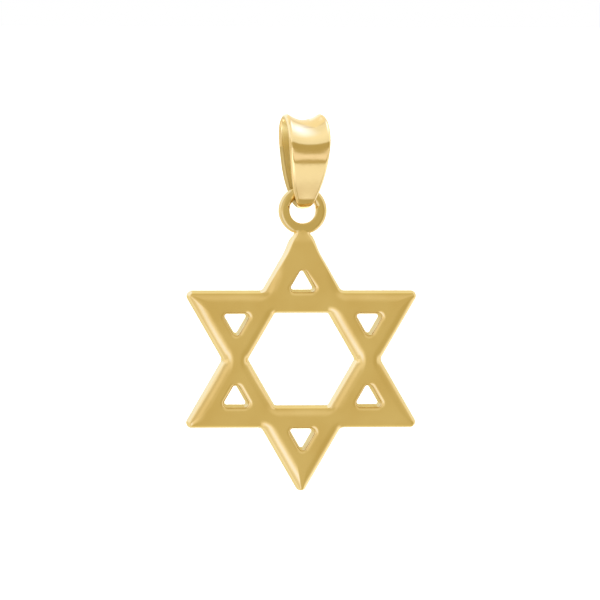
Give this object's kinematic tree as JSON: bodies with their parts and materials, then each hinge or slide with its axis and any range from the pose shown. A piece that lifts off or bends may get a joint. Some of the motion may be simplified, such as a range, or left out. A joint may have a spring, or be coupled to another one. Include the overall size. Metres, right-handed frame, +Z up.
{
  "type": "star of david pendant",
  "caption": "Openwork six-pointed star pendant with a soldered ring, hung on a folded sheet-metal bail that a chain runs through.",
  "frame": {"origin": "chain seat: the middle of the inner surface of the bail's crown, where the chain carries the pendant", "axes": "+Z up, the pendant hanging below the origin; the star's front faces -Y and its plane is XZ; +X to the right as seen from the front"},
  "size_m": [0.0168, 0.0038, 0.0274],
  "materials": {
    "bail_gold": null,
    "star_gold": null
  },
  "bodies": {
    "bail": {"bail": "bail_gold"},
    "star": {"star": "star_gold"}
  },
  "joints": [
    {"name": "star_swing", "type": "hinge", "parent": "bail", "child": "star", "pos_m": [0, 0, -0.0047], "axis": [0.9848, 0.1736, 0], "range_deg": [-40, 40]}
  ]
}
